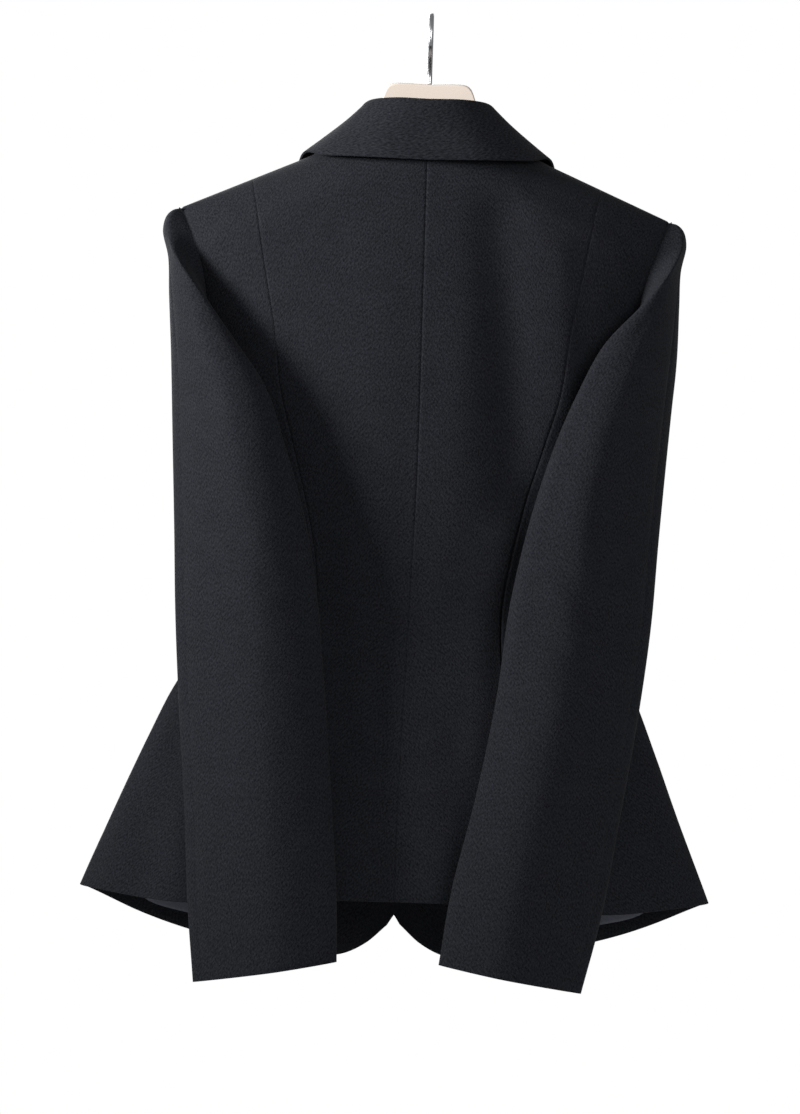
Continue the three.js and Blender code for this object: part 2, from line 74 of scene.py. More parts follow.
studio = {
    "key": {"place": (2.1, 0.85, 0.25), "size": 0.62, "power": 15.5, "aim": 0.06, "spread": 62.0},
    "fill": {"place": (-1.4, 3.0, 0.5), "size": 1.6, "power": 20.0, "aim": -0.35, "spread": 120.0},
    "front": {"place": (0.6, -2.6, 0.4), "size": 1.8, "power": 60.0, "aim": -0.38, "spread": 180.0},
    "ambient": 0.24,
    "floorDrop": 1.25,
    "floorSide": 2.6,
}


def makeLight(name, place, size, power, aim, spread):
    data = bpy.data.lights.new(name, "AREA")
    data.size = size
    data.energy = power
    data.spread = math.radians(spread)
    lamp = bpy.data.objects.new(name, data)
    bpy.context.scene.collection.objects.link(lamp)
    toward = Vector((0.0, 0.0, aim)) - Vector(place)
    lamp.matrix_world = Matrix.Translation(place) @ toward.to_track_quat("-Z", "Y").to_matrix().to_4x4()


def makeStudio():
    for name in ("key", "fill", "front"):
        makeLight(name, **studio[name])
    world = bpy.data.worlds.new("studio")
    world.use_nodes = True
    tree = world.node_tree
    back = tree.nodes["Background"]
    seen = tree.nodes.new("ShaderNodeLightPath")
    level = tree.nodes.new("ShaderNodeMapRange")
    level.inputs["To Min"].default_value = studio["ambient"]
    level.inputs["To Max"].default_value = 1.0
    tree.links.new(seen.outputs["Is Camera Ray"], level.inputs["Value"])
    tree.links.new(level.outputs["Result"], back.inputs["Strength"])
    back.inputs["Color"].default_value = (1.0, 1.0, 1.0, 1.0)
    bpy.context.scene.world = world
    bpy.context.scene.view_settings.view_transform = "Standard"
    bm = bmesh.new()
    bmesh.ops.create_grid(bm, x_segments=1, y_segments=1, size=studio["floorSide"] / 2)
    bmesh.ops.translate(bm, verts=bm.verts, vec=(0.0, 0.0, -studio["floorDrop"]))
    mesh = bpy.data.meshes.new("floor")
    bm.to_mesh(mesh)
    bm.free()
    floor = bpy.data.objects.new("floor", mesh)
    bpy.context.scene.collection.objects.link(floor)
    pale = bpy.data.materials.new("paleFloor")
    pale.use_nodes = True
    pale.node_tree.nodes["Principled BSDF"].inputs["Base Color"].default_value = (0.86, 0.86, 0.85, 1.0)
    pale.node_tree.nodes["Principled BSDF"].inputs["Roughness"].default_value = 0.9
    mesh.materials.append(pale)


makeCamera()
makeStudio()
print("camera and studio made")


# Smooth lines through a few chosen points

def curvePoint(points, share, closed=False):
    count = len(points)
    spans = count if closed else count - 1
    place = min(max(share, 0.0), 1.0) * spans
    i = min(int(place), spans - 1)
    w = place - i
    if closed:
        p0, p1, p2, p3 = (points[(i + k) % count] for k in (-1, 0, 1, 2))
    else:
        p1, p2 = points[i], points[i + 1]
        p0 = points[i - 1] if i > 0 else p1 * 2 - p2
        p3 = points[i + 2] if i + 2 < count else p2 * 2 - p1
    d1 = math.sqrt((p2 - p1).length) or 1.0
    d0 = math.sqrt((p1 - p0).length) or d1
    d2 = math.sqrt((p3 - p2).length) or d1
    t1 = ((p1 - p0) / d0 - (p2 - p0) / (d0 + d1) + (p2 - p1) / d1) * d1
    t2 = ((p2 - p1) / d1 - (p3 - p1) / (d1 + d2) + (p3 - p2) / d2) * d1
    w2 = w * w
    w3 = w2 * w
    return p1 * (2 * w3 - 3 * w2 + 1) + t1 * (w3 - 2 * w2 + w) + p2 * (3 * w2 - 2 * w3) + t2 * (w3 - w2)


def byLength(points, steps=240):
    samples = [curvePoint(points, k / steps) for k in range(steps + 1)]
    run = [0.0]
    for a, b in zip(samples, samples[1:]):
        run.append(run[-1] + (b - a).length)

    def at(share):
        goal = min(max(share, 0.0), 1.0) * run[-1]
        low, high = 0, steps
        while high - low > 1:
            middle = (low + high) // 2
            if run[middle] <= goal:
                low = middle
            else:
                high = middle
        span = run[high] - run[low] or 1.0
        return samples[low].lerp(samples[high], (goal - run[low]) / span)
    return at


def smoothStep(x, low, high):
    t = min(max((x - low) / (high - low), 0.0), 1.0)
    return t * t * (3 - 2 * t)


# The body's form: the same sections as the frame's

body = {
    "slope": 0.432,           # fall of the shoulder line for each millimetre out
    "atCentre": 2.6,
    "round": 42.0,            # how far below the shoulder the cloth turns vertical
    "sway": 8.0,              # sideways drift of the hem
    "swayFrom": 240.0,
    "swayTo": 600.0,
    "neck": 60.0,
    "tip": 188.0,
    "princess": 134.0,
    "underarm": 215.0,
    "waist": 392.0,
    "hemSide": 608.0,
    "overlap": 15.0,
}
# drop, half width, depth behind the shoulder line, depth before it
bodyLevels = [
    (0, 190, 44, 46), (45, 190, 48, 58), (85, 190, 52, 64), (125, 184, 55, 69), (175, 176, 56, 74),
    (215, 172, 55, 75), (265, 167, 51, 72), (330, 159, 43, 61), (392, 156, 36, 51), (430, 167, 39, 52),
    (465, 184, 44, 55), (535, 213, 53, 61), (610, 244, 60, 66), (670, 266, 64, 69),
]
levelStep = 0.5


def readLevels(column):
    rows = [(row[0], row[column]) for row in bodyLevels]
    last = len(rows) - 1
    values = []
    for k in range(int(rows[last][0] / levelStep) + 1):
        d = k * levelStep
        i = 0
        while i < last - 1 and rows[i + 1][0] < d:
            i += 1
        (da, a), (db, b) = rows[i], rows[i + 1]
        (dp, p), (dn, n) = rows[max(i - 1, 0)], rows[min(i + 2, last)]
        span = db - da
        t = (d - da) / span
        sa = (b - p) / (db - dp) * span
        sb = (n - a) / (dn - da) * span
        t2 = t * t
        t3 = t2 * t
        values.append(a * (2 * t3 - 3 * t2 + 1) + sa * (t3 - 2 * t2 + t) + b * (3 * t2 - 2 * t3) + sb * (t3 - t2))
    return values


halfValues = readLevels(1)
backValues = readLevels(2)
frontValues = readLevels(3)


def readAt(values, drop):
    place = min(max(drop / levelStep, 0.0), len(values) - 1.001)
    i = int(place)
    return values[i] + (values[i + 1] - values[i]) * (place - i)


def halfAt(drop):
    return readAt(halfValues, drop)


def swayAt(drop):
    return body["sway"] * smoothStep(drop, body["swayFrom"], body["swayTo"])


def shoulderAt(out):
    return body["atCentre"] + body["slope"] * abs(out)


def depthSquared(face, out, drop):
    depth = readAt(backValues if face > 0 else frontValues, drop)
    across = max(1 - (out / halfAt(drop)) ** 2, 0.0)
    below = min((drop - shoulderAt(out)) / body["round"], 1.0)
    return depth * depth * across * max(1 - (1 - below) ** 2, 0.0)


def depthAt(face, out, drop):
    return math.sqrt(depthSquared(face, out, drop))


def bodyPoint(face, out, drop):
    return Vector((out + swayAt(drop), face * depthAt(face, out, drop), -hookToCollar - drop))


def bodyNormal(face, out, drop):
    step = 0.5
    inset = math.copysign(min(abs(out), halfAt(drop) - step), out)
    low = max(drop, shoulderAt(out) + step)
    byOut = depthSquared(face, inset + step, drop) - depthSquared(face, inset - step, drop)
    byDrop = depthSquared(face, inset, low + step) - depthSquared(face, inset, low - step)
    return Vector((-byOut, 2 * depthAt(face, out, drop) * face * 2 * step, byDrop)).normalized()


# Seams and edges, each point as distance out and drop

def line(*points):
    return [Vector((out, drop, 0.0)) for out, drop in points]


def onShoulder(out):
    return (out, shoulderAt(out))


princessSeam = [(127, 99), (120, 138), (113, 175), (107, 223), (97, 261), (86, 302), (76, 345), (71, 392),
                (77, 455), (91, 535), (105, 613)]
neckEdge = [(0, 30), (28, 30.6), (47, 30.2)]
backArmhole = [(178, 108), (169, 140), (166, 170), (167, 196)]
frontArmhole = [(175, 105), (163, 138), (160, 168), (164, 195)]
backHem = [(0, 611), (60, 611.5), (105, 613), (160, 617), (205, 613)]
frontHem = [(22, 652), (42, 661), (80, 661), (155, 645), (198, 630)]
frontEdge = [(-15, 440), (-15, 530), (-14, 590), (-8, 615), (5, 637)]
rollLine = [(57, 58), (48, 105), (24, 225), (-4, 345)]
closing = (-15, 392)
tipPoint = onShoulder(body["tip"])
underarm = (halfAt(body["underarm"]), body["underarm"])
sideSeam = [underarm] + [(halfAt(d), d) for d in (265, 330, 392, 430, 465, 535, 608)]


# Creases: soft troughs (less than zero) and ridges, from one point to another

# wearer's left is positive; from (across, drop) to (across, drop), width, height
backCreases = [
    ((-58, 90), (-78, 300), 21, -7.5),
    ((-96, 300), (-72, 420), 14, -2.6),
    ((-30, 170), (-22, 380), 20, 1.6),
    ((34, 110), (28, 300), 26, 1.4),
    ((-104, 110), (-112, 230), 12, 1.8),
    ((72, 300), (44, 500), 17, -2.4),
    ((22, 440), (-8, 585), 13, -1.7),
    ((-40, 470), (-58, 606), 15, -2.0),
    ((-84, 62), (-160, 97), 8, -1.3),
    ((80, 60), (168, 101), 9, -1.1),
    ((-58, 384), (-128, 402), 6, -1.3),
    ((52, 396), (126, 388), 7, -1.2),
    ((158, 430), (192, 600), 15, -3.2),
    ((-150, 436), (-182, 603), 17, -2.6),
    ((204, 500), (222, 604), 9, 1.6),
    ((-196, 508), (-214, 604), 10, 1.5),
]
frontCreases = [
    ((60, 250), (95, 400), 18, -2.6),
    ((-66, 240), (-90, 392), 20, -2.2),
    ((30, 398), (120, 384), 7, -1.3),
    ((-28, 400), (-112, 392), 6, -1.4),
    ((70, 420), (92, 640), 16, -2.4),
    ((-60, 430), (-84, 636), 18, -2.0),
    ((150, 430), (190, 612), 15, -2.8),
    ((-146, 440), (-178, 612), 16, -3.0),
    ((120, 120), (100, 240), 14, -1.6),
    ((-124, 130), (-104, 250), 13, -1.8),
]
# share round the section, drop, width in millimetres
sleeveCreases = {
    "left": [
        ((0.40, 190), (0.47, 380), 13, 1.5),
        ((0.58, 300), (0.47, 372), 8, -1.5),
        ((0.60, 352), (0.50, 410), 7, -1.3),
        ((0.36, 420), (0.42, 640), 12, -1.4),
        ((0.53, 470), (0.56, 640), 15, 1.2),
        ((0.75, 330), (0.92, 380), 9, -1.6),
        ((0.10, 330), (0.20, 400), 9, -1.6),
    ],
    "right": [
        ((0.37, 200), (0.38, 430), 7, 1.7),
        ((0.47, 170), (0.55, 330), 14, -2.2),
        ((0.44, 340), (0.56, 400), 8, -1.5),
        ((0.42, 392), (0.55, 440), 7, -1.2),
        ((0.46, 480), (0.49, 650), 13, 1.3),
        ((0.58, 500), (0.56, 640), 11, -1.5),
        ((0.74, 340), (0.90, 372), 9, -1.7),
        ((0.08, 340), (0.22, 388), 8, -1.5),
    ],
}
sleeveGirth = 260.0


def creaseHeight(creases, across, drop, scale=1.0):
    total = 0.0
    for (ax, ad), (bx, bd), width, height in creases:
        px, py = (across - ax) * scale, drop - ad
        dx, dy = (bx - ax) * scale, bd - ad
        t = min(max((px * dx + py * dy) / (dx * dx + dy * dy), 0.0), 1.0)
        away = ((px - t * dx) ** 2 + (py - t * dy) ** 2) / (width * width)
        if away < 9.0:
            total += height * math.exp(-away) * (0.55 + 0.45 * math.sin(math.pi * (0.15 + 0.7 * t)))
    return total


# Cloth pieces: a grid moved onto the form, then given its thickness

cloth = {
    "thick": 1.9,
    "seamDip": 0.6,
    "seamWidth": 1.8,
    "seamLap": 0.5,
    "edgeRound": 0.6,
    "edgePacking": 0.72,
}


def spread(share):
    k = cloth["edgePacking"]
    return share - k * math.sin(2 * math.pi * share) / (2 * math.pi)


def unroll(points):
    middle = len(points[0]) // 2
    down, flats = 0.0, []
    for r, row in enumerate(points):
        if r:
            down += (row[middle] - points[r - 1][middle]).length
        run = [0.0]
        for a, b in zip(row, row[1:]):
            run.append(run[-1] + (b - a).length)
        flats.append([(length - run[middle], -down) for length in run])
    return flats


def clothPiece(name, points, outwards, thick=None, flats=None):
    rows, columns = len(points) - 1, len(points[0]) - 1
    flats = flats or unroll(points)
    bm = bmesh.new()
    bmesh.ops.create_grid(bm, x_segments=columns, y_segments=rows, size=0.5)
    layer = bm.loops.layers.uv.new("cloth")
    place = {}
    for vert in bm.verts:
        c = round((vert.co.x + 0.5) * columns)
        r = round((vert.co.y + 0.5) * rows)
        place[vert] = (r, c)
        vert.co = points[r][c] * mm
    for f in bm.faces:
        f.smooth = True
        for loop in f.loops:
            r, c = place[loop.vert]
            loop[layer].uv = (flats[r][c][0] * mm, flats[r][c][1] * mm)
    bm.normal_update()
    agreement = sum(vert.normal.dot(outwards[place[vert][0]][place[vert][1]]) for vert in bm.verts)
    if agreement < 0:
        bmesh.ops.reverse_faces(bm, faces=bm.faces)
    mesh = bpy.data.meshes.new(name)
    bm.to_mesh(mesh)
    bm.free()
    piece = bpy.data.objects.new(name, mesh)
    bpy.context.scene.collection.objects.link(piece)
    shell = piece.modifiers.new("thickness", "SOLIDIFY")
    shell.thickness = (thick or cloth["thick"]) * mm
    shell.offset = -1.0
    soften = piece.modifiers.new("edges", "BEVEL")
    soften.width = min(cloth["edgeRound"], 0.3 * (thick or cloth["thick"])) * mm
    soften.segments = 2
    soften.limit_method = "ANGLE"
    soften.angle_limit = math.radians(55)
    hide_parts(name)
    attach(piece, "root")
    return piece


def sinkSeams(points, outwards, sides):
    # the two edges of a seam dip, so that it reads as a fine line
    rows, columns = len(points), len(points[0])
    for r in range(rows):
        for end, way, on in ((0, 1, sides[2]), (columns - 1, -1, sides[3])):
            c, run = end, 0.0
            while on and run < cloth["seamWidth"] and 0 <= c < columns:
                share = 1 - run / cloth["seamWidth"]
                step = (points[r][c + way] - points[r][c]).length
                points[r][c] = points[r][c] - outwards[r][c] * cloth["seamDip"] * share * share
                run += step
                c += way
            if on:
                outward = (points[r][end] - points[r][end + way]).normalized()
                points[r][end] = points[r][end] + outward * cloth["seamLap"]


def panel(name, face, side, top, bottom, inner, outer, rows, columns,
          packing=1.0, lift=None, creases=(), thick=None, sides=(1, 0, 1, 1)):
    def flat(p):
        return Vector((math.asin(min(max(p.x / halfAt(p.y), -1.0), 1.0)), p.y))
    tops = [flat(top(spread(c / columns))) for c in range(columns + 1)]
    lows = [flat(bottom(spread(c / columns))) for c in range(columns + 1)]
    points, outwards = [], []
    for r in range(rows + 1):
        down = (r / rows) ** packing
        left, right = flat(inner(down)), flat(outer(down))
        pointRow, outRow = [], []
        for c in range(columns + 1):
            over = spread(c / columns)
            p = (tops[c] * (1 - down) + lows[c] * down + left * (1 - over) + right * over
                 - tops[0] * ((1 - over) * (1 - down)) - tops[-1] * (over * (1 - down))
                 - lows[0] * ((1 - over) * down) - lows[-1] * (over * down))
            out = side * halfAt(p.y) * math.sin(min(max(p.x, -math.pi / 2), math.pi / 2))
            normal = bodyNormal(face, out, p.y)
            height = lift(side * out, p.y) if lift else 0.0
            edge = smoothStep(math.pi / 2 - abs(p.x), 0.0, 0.25) * smoothStep(p.y - shoulderAt(out), 0.0, 30.0)
            height += creaseHeight(creases, out, p.y) * edge
            pointRow.append(bodyPoint(face, out, p.y) + normal * height)
            outRow.append(normal)
        points.append(pointRow)
        outwards.append(outRow)
    sinkSeams(points, outwards, sides)
    return clothPiece(name, points, outwards, thick)


def onSide(edge):
    # below the underarm the side seam is the form's widest line
    def pinned(share):
        p = edge(share).copy()
        if p.y > body["underarm"]:
            p.x = halfAt(p.y)
        return p
    return pinned


centreBack = byLength(line((0, 30), (0, 200), (0, 400), (0, 611)))
princess = byLength(line(onShoulder(body["princess"]), *princessSeam))
backOuter = onSide(byLength(line(tipPoint, *backArmhole, *sideSeam)))
frontOuter = onSide(byLength(line(tipPoint, *frontArmhole, *sideSeam)))
frontInner = byLength(line(onShoulder(body["neck"]), *rollLine, closing, *frontEdge))
armholes = {1: byLength(line(tipPoint, *backArmhole, underarm)), -1: byLength(line(tipPoint, *frontArmhole, underarm))}
lapelLift = 3.1
overlapLift = 2 * lapelLift


def frontLift(side):
    def lift(out, drop):
        if side > 0:
            return 0.0
        return overlapLift * (1 - smoothStep(out, 30, 95)) * smoothStep(drop, 90, 190)
    return lift


pieces = {}
handSides = (("left", 1), ("right", -1))
for hand, side in handSides:
    pieces["back_" + hand] = panel(
        "back_" + hand, 1, side,
        byLength(line(*neckEdge, onShoulder(60), onShoulder(97), onShoulder(134))),
        byLength(line(*backHem[:3])), centreBack, princess, 130, 34, 1.25, None, backCreases)
    pieces["side_back_" + hand] = panel(
        "side_back_" + hand, 1, side,
        byLength(line(onShoulder(134), tipPoint)),
        byLength(line(*backHem[2:], sideSeam[-1])), princess, backOuter, 130, 36, 1.25, None, backCreases)
    pieces["front_" + hand] = panel(
        "front_" + hand, -1, side,
        byLength(line(onShoulder(60), onShoulder(97), onShoulder(134), tipPoint)),
        byLength(line(frontEdge[4], *frontHem, sideSeam[-1])), frontInner, frontOuter, 140, 60, 1.25,
        frontLift(side), frontCreases, None, (1, 0, 0, 1))
print("body panels made")


# Sleeves, swung onto the back

sleeve = {"clear": 3.6, "rows": 168, "columns": 96, "split": 0.625, "sewnLevels": 7}
# drop, slant, fold (left, right), edge (left, right), depth of fold, crown, edge and front, share of the armhole
sleeveLevels = [
    (84.9, 0, (186.4, 186.4), (187.4, 187.4), 1.5, 1.2, 0, -1.5, 0.0),
    (86.0, 0, (192.0, 192.0), (194.3, 194.3), 6, 5, 0, -6, 0.03),
    (92, -1, (196, 196), (199.5, 199.5), 12.5, 11, 0, -13, 0.1),
    (104, -2, (196, 197), (202, 202), 20, 17, 0, -22, 0.2),
    (123, 0, (190, 189), (197, 198), 38, 30, 6, -30, 0.38),
    (147, 3, (173, 172), (195, 197), 51, 47, 12, -32, 0.56),
    (183, 10, (146, 139), (192, 196), 61, 66, 17, -26, 0.78),
    (222, 13, (118, 119), (190, 193), 65, 77, 21, -12, 1),
    (262, 13, (103, 103), (188, 190), 67, 82, 26, 2, 1),
    (320, 13, (85, 86), (185, 186), 66, 84, 31, 14, 1),
    (384, 13, (73, 73), (182, 182), 64, 84, 36, 22, 1),
    (453, 13, (65, 65), (177, 174), 67, 86, 42, 30, 1),
    (530, 14, (58, 51), (170, 162), 75, 92, 52, 42, 1),
    (600, 17, (52, 35), (165, 150), 81, 97, 60, 52, 1),
    (656, 20, (50, 27), (159, 136), 83, 98, 64, 56, 1),
]


def sleeveSection(level, hand, blend):
    drop, slant, folds, edges, foldY, crownY, edgeY, frontY, arm = level
    fold, edge = folds[hand], edges[hand]
    width = edge - fold

    def at(out, y, share):
        return Vector((out, y, -hookToCollar - drop - slant * share))

    def sewn(face):
        p = armholes[face](arm)
        point = bodyPoint(face, p.x, p.y) + bodyNormal(face, p.x, p.y) * 0.2
        point.x = p.x - 1.4
        point.z -= 1.6 * max(1 - arm * 6, 0)
        return point

    def under(out):
        return depthAt(1, min(out, halfAt(drop)), drop)
    seamOut = (underarm[0] + 5) * (1 - blend) + (fold + width * 0.5) * blend
    seam = at(seamOut, max(under(seamOut) + 8 * blend + 2, frontY * blend), 0.5)
    start, stop = (sewn(1), sewn(-1)) if arm < 1 else (seam, seam)
    if arm < 1:
        valley = start.lerp(at(fold, foldY, 0), 0.5) + Vector((0, -5 * arm, 3 * min(arm * 5, 1)))
    else:
        valley = at(fold + width * 0.22, under(fold + width * 0.22) + 7, 0.22)
    return [start, valley, at(fold, foldY, 0), at(fold + width * 0.42, crownY, 0.42), at(edge, edgeY, 1),
            at(edge - width * 0.1 - 3, frontY, 0.9), stop]


def keepOutside(p, drop, side):
    shift = side * swayAt(drop)
    p.x -= shift
    across = halfAt(drop) + sleeve["clear"]
    deep = readAt(backValues if p.y > 0 else frontValues, drop) + sleeve["clear"]
    inside = math.hypot(p.x / across, p.y / deep)
    if inside < 1 and drop < body["hemSide"] + 20:
        p.x /= inside
        p.y /= inside
    p.x += shift


def sleevePoints(hand, side, creases):
    last = len(sleeveLevels) - 1
    sewnLevels = sleeve["sewnLevels"]
    sections = [sleeveSection(level, hand, smoothStep(i, sewnLevels, sewnLevels + 5))
                for i, level in enumerate(sleeveLevels)]
    tracks = list(zip(*sections))
    rows, columns = sleeve["rows"], sleeve["columns"]
    points = []
    for r in range(rows + 1):
        share = (r / rows) ** 1.1
        stations = [curvePoint(track, share) for track in tracks]
        isSewn = share * last < sewnLevels
        row = []
        for c in range(columns + 1):
            around = c / columns
            p = curvePoint(stations if isSewn else stations[:-1], around, not isSewn)
            drop = -hookToCollar - p.z
            if isSewn:
                clear = sleeve["clear"] * smoothStep(min(around, 1 - around), 0.0, 0.25)
                if p.y > 0 and p.x < halfAt(drop):
                    p.y = max(p.y, depthAt(1, p.x, drop) + clear)
            else:
                keepOutside(p, drop, side)
            row.append(Vector((side * p.x, p.y, p.z)))
        points.append(row)
    return points


def gridNormals(points, sign, joinedFrom=None):
    rows, columns = len(points), len(points[0])
    normals = []
    for r in range(rows):
        row = []
        for c in range(columns):
            joined = joinedFrom is not None and r >= joinedFrom and c in (0, columns - 1)
            left = points[r][columns - 2] if joined else points[r][max(c - 1, 0)]
            right = points[r][1] if joined else points[r][min(c + 1, columns - 1)]
            down = points[min(r + 1, rows - 1)][c] - points[max(r - 1, 0)][c]
            row.append((right - left).cross(down).normalized() * sign)
        normals.append(row)
    return normals


for index, (hand, side) in enumerate(handSides):
    points = sleevePoints(index, side, sleeveCreases[hand])
    joinedFrom = round(sleeve["rows"] * (sleeve["sewnLevels"] / (len(sleeveLevels) - 1)) ** (1 / 1.1)) + 1
    outwards = gridNormals(points, side, joinedFrom)
    for r, row in enumerate(points):
        for c, p in enumerate(row):
            drop = -hookToCollar - p.z
            height = creaseHeight(sleeveCreases[hand], c / sleeve["columns"], drop, sleeveGirth)
            row[c] = p + outwards[r][c] * height
    split = round(sleeve["columns"] * sleeve["split"])
    for part, low, high in (("upper", 0, split), ("under", split, sleeve["columns"])):
        cut = [row[low:high + 1] for row in points]
        cutOut = [row[low:high + 1] for row in outwards]
        sinkSeams(cut, cutOut, (0, 0, 1, 1))
        name = "sleeve_" + part + "_" + hand
        pieces[name] = clothPiece(name, cut, cutOut)
        pieces[name].modifiers["thickness"].thickness_clamp = 2.0
print("sleeves made")


# Collar: stand and fall turned over one soft fold, round the neck to the gorge

collar = {"thick": 1.7, "foldHalf": 3.2, "rows": 132, "columns": 34}
# seam, fold and edge as (out, depth behind the shoulder line, drop), and how far the fall is notched
collarStations = [
    ((0, 43.3, 29.5), (0, 46, 0), (0, 54, 45.5), 0),
    ((24, 40.3, 29.9), (25, 42, -0.5), (46, 50.5, 44.5), 0),
    ((47, 25.6, 29.3), (44, 24, 0.5), (79, 33, 43), 0),
    ((59.5, 1, 27.6), (50, 1, 5), (94, 1, 39.5), 0),
    ((57.5, -24, 31.5), (53, -30, 16), (101, -37, 54), 0),
    ((56, -46, 44), (54, -56, 38), (105, -60, 73), 2),
    ((54, -57, 58), (51, -66, 60), (98, -64, 82), 11),
]
# share round the collar (0 is the wearer's right end), share down the fall, reach, height
collarDents = [(0.34, 0.78, 0.07, -0.9), (0.61, 0.70, 0.08, -0.8), (0.50, 0.86, 0.06, 0.5)]


def collarSection(station, side):
    seam, fold, edge, notch = station
    low, high, far = (Vector((side * p[0], p[1], -hookToCollar - p[2])) for p in (seam, fold, edge))
    away = far - low
    away.z = 0.0
    away = away.normalized() * collar["foldHalf"]
    inside = high - away
    outside = high + away
    inside.z = outside.z = high.z - collar["foldHalf"]
    far.z += notch
    return [low, low.lerp(inside, 0.55), inside, high, outside, outside.lerp(far, 0.5), far]


def makeCollar():
    ends = [(station, -1) for station in reversed(collarStations[1:])] + [(station, 1) for station in collarStations]
    tracks = list(zip(*(collarSection(*end) for end in ends)))
    rows, columns = collar["rows"], collar["columns"]
    points = []
    for r in range(rows + 1):
        stations = [curvePoint(track, r / rows) for track in tracks]
        points.append([curvePoint(stations, c / columns) for c in range(columns + 1)])
    outwards = gridNormals(points, 1)
    for r, row in enumerate(points):
        for c in range(columns + 1):
            height = 0.0
            for around, fall, reach, dent in collarDents:
                far2 = ((r / rows - around) / reach) ** 2 + ((c / columns - fall) / 0.2) ** 2
                if far2 < 9.0:
                    height += dent * math.exp(-far2)
            row[c] = row[c] + outwards[r][c] * height
    return clothPiece("collar", points, outwards, collar["thick"])


pieces["collar"] = makeCollar()

gorge = [(51, 66), (80, 80), (114, 99)]
lapelEdge = [(114, 99), (113, 135), (98, 205), (66, 290), (24, 358), (-8, 390)]
for hand, side in handSides:
    base = frontLift(side)
    pieces["lapel_" + hand] = panel(
        "lapel_" + hand, -1, side,
        byLength(line(*gorge)), byLength(line(closing, (-8, 390))),
        byLength(line(gorge[0], *rollLine[1:], closing)), byLength(line(*lapelEdge)), 110, 34, 1.0,
        lambda out, drop, base=base: base(out, drop) + lapelLift, [], None, (0, 0, 0, 0))
print("collar and lapels made")


# Lining: the strip that shows inside each front's lower edge

lining = {"thick": 0.8, "facing": 13.0, "top": 560.0, "sideMargin": 34.0, "slack": 1.2, "nearOut": 100.0,
          "nearDrop": 657.0}


def makeLining(hand, side):
    farHigh = (halfAt(lining["top"]) - lining["sideMargin"], lining["top"])
    farDrop = body["hemSide"] - lining["facing"]
    farLow = (halfAt(farDrop) - lining["sideMargin"], farDrop)
    nearHigh = (lining["nearOut"], lining["top"])
    nearLow = (lining["nearOut"], lining["nearDrop"] - lining["facing"])
    low = [(out, drop - lining["facing"]) for out, drop in frontHem[3:]]
    sunk = -(cloth["thick"] + 0.4 + lining["slack"])
    return panel(
        "lining_" + hand, -1, side, byLength(line(nearHigh, farHigh)), byLength(line(nearLow, *low, farLow)),
        byLength(line(nearHigh, nearLow)), byLength(line(farHigh, farLow)), 26, 30, 1.0,
        lambda out, drop: sunk, frontCreases, lining["thick"], (0, 0, 0, 0))


for hand, side in handSides:
    pieces["lining_" + hand] = makeLining(hand, side)
print("lining made")


# Button with a rim, turned from one profile; its four holes are near-black discs on the face, painted shade standing
# for the openings over the black cloth behind

button = {
    "radius": 10.0,
    "thick": 4.0,
    "slack": 1.3,
    "drop": 403.0,
    "holeOut": 1.9,
    "holeRadius": 0.75,
    "profile": [(0, 0), (8, 0), (9.4, 0.5), (10, 1.3), (10, 2.7), (9.5, 3.7), (8.7, 4), (7.7, 3.6), (7.0, 3.0),
                (0, 2.9)],
}


def makeButton():
    bm = bmesh.new()
    ring = [bm.verts.new((r * mm, 0.0, h * mm)) for r, h in button["profile"]]
    for a, b in zip(ring, ring[1:]):
        bm.edges.new((a, b))
    bmesh.ops.spin(bm, geom=bm.verts[:] + bm.edges[:], cent=(0, 0, 0), axis=(0, 0, 1), steps=64,
                   angle=2 * math.pi, use_merge=True)
    bmesh.ops.remove_doubles(bm, verts=bm.verts, dist=0.00001)
    for turn in range(4):
        angle = math.pi / 4 + turn * math.pi / 2
        spot = Vector((math.cos(angle), math.sin(angle), 0.0)) * button["holeOut"] * mm * 1.3
        place = Matrix.Translation(spot + Vector((0, 0, 3.02 * mm)))
        hole = bmesh.ops.create_circle(bm, cap_ends=True, segments=20, radius=button["holeRadius"] * mm, matrix=place)
        for f in {f for vert in hole["verts"] for f in vert.link_faces}:
            # each disc takes the near-black second material: painted shade for a hole, not a cut opening
            f.material_index = 1
    bmesh.ops.rotate(bm, verts=bm.verts, cent=(0, 0, 0), matrix=Matrix.Rotation(math.pi / 2, 3, "X"))
    drop = button["drop"]
    depth = -depthAt(-1, 0, drop) - overlapLift - button["slack"]
    bmesh.ops.translate(bm, verts=bm.verts, vec=Vector((swayAt(drop), depth, -hookToCollar - drop)) * mm)
    bmesh.ops.recalc_face_normals(bm, faces=bm.faces)
    for f in bm.faces:
        f.smooth = True
    mesh = bpy.data.meshes.new("button")
    bm.to_mesh(mesh)
    bm.free()
    piece = bpy.data.objects.new("button", mesh)
    bpy.context.scene.collection.objects.link(piece)
    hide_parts("button")
    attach(piece, "root")
    return piece


pieces["button"] = makeButton()


# Hanger: contoured body with a hump at the neck, and its wire hook turned edge-on

hanger = {
    "thick": 16.0,
    "edgeRound": 3.4,
    "underCloth": 4.3,
    "tipDrop": 3.2,
    "reach": 168.0,
    "wireRadius": 2.0,
    "railRadius": 15.0,
    "mouth": 205.0,
    "humpDrop": -16.0,
}


def hangerTop(out):
    return shoulderAt(out) + hanger["underCloth"] + hanger["tipDrop"] * (out / hanger["reach"]) ** 3


